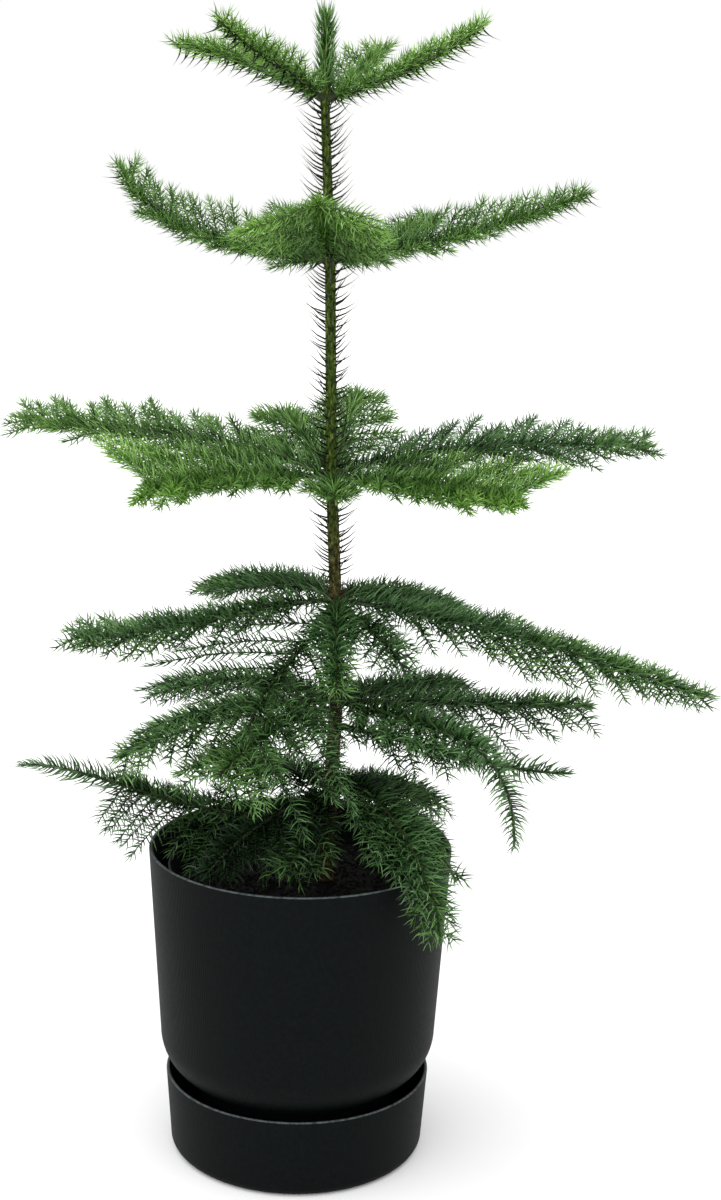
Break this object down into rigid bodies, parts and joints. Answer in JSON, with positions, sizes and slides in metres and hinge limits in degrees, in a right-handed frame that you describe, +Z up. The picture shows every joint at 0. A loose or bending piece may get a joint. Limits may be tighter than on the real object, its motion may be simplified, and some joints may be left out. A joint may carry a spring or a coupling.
{
  "type": "potted norfolk island pine",
  "caption": "Young conifer with tiers of flat, needle-covered branches round a slender trunk, in a round charcoal pot that stands in a deep saucer.",
  "frame": {"origin": "middle of the saucer's flat underside, on the surface that the plant stands on", "axes": "+Z up along the trunk, -Y is the front of the plant as pictured, +X is to the viewer's right"},
  "size_m": [0.5626, 0.3242, 0.898],
  "materials": {
    "charcoal_plastic": "matt charcoal plastic with very fine upright ribs",
    "grower_pot_plastic": "matt black thin plastic",
    "potting_mix": "dark moist peat with bark crumbs",
    "bark": "olive green to brown bark with needle scars",
    "new_needles": "fresh yellow-green needles, slightly waxy",
    "young_needles": "mid green needles",
    "old_needles": "dark bluish green needles",
    "shaded_needles": "very dark green needles"
  },
  "bodies": {
    "root": {"bough_1_left": "bark", "bough_2_back_left": "bark", "bough_2_back_right": "bark", "bough_2_front": "bark", "bough_2_front_left": "bark", "bough_2_left": "bark", "bough_2_right": "bark", "bough_3_back_left": "bark", "bough_3_back_right": "bark", "bough_3_front_left": "bark", "bough_3_left": "bark", "bough_3_right": "bark", "bough_4_back_right": "bark", "bough_4_front_left": "bark", "bough_4_front_right": "bark", "bough_4_left": "bark", "bough_4_right": "bark", "foliage_1_back_left": "shaded_needles", "foliage_1_back_right": "shaded_needles", "foliage_1_front": "shaded_needles", "foliage_1_front_left": "shaded_needles", "foliage_1_front_right": "shaded_needles", "foliage_1_left": "shaded_needles", "foliage_1_right": "shaded_needles", "foliage_2_back_left": "shaded_needles", "foliage_2_back_right": "shaded_needles", "foliage_2_front": "shaded_needles", "foliage_2_front_left": "shaded_needles", "foliage_2_front_right": "shaded_needles", "foliage_2_left": "shaded_needles", "foliage_2_right": "shaded_needles", "foliage_3_back_left": "old_needles", "foliage_3_back_right": "old_needles", "foliage_3_front": "old_needles", "foliage_3_front_left": "old_needles", "foliage_3_front_right": "old_needles", "foliage_3_left": "old_needles", "foliage_3_right": "old_needles", "foliage_4_back_left": "young_needles", "foliage_4_back_right": "young_needles", "foliage_4_front": "young_needles", "foliage_4_front_left": "young_needles", "foliage_4_front_right": "young_needles", "foliage_4_left": "young_needles", "foliage_4_right": "young_needles", "foliage_5_back_left": "new_needles", "foliage_5_back_right": "new_needles", "foliage_5_front": "new_needles", "foliage_5_left": "new_needles", "foliage_5_right": "new_needles", "foliage_6_back_right": "new_needles", "foliage_6_front_left": "new_needles", "foliage_6_left": "new_needles", "foliage_6_right": "new_needles", "foliage_leader": "new_needles", "grower_pot": "grower_pot_plastic", "pot": "charcoal_plastic", "potting_mix": "potting_mix", "saucer": "charcoal_plastic", "trunk": "bark"}
  },
  "joints": []
}
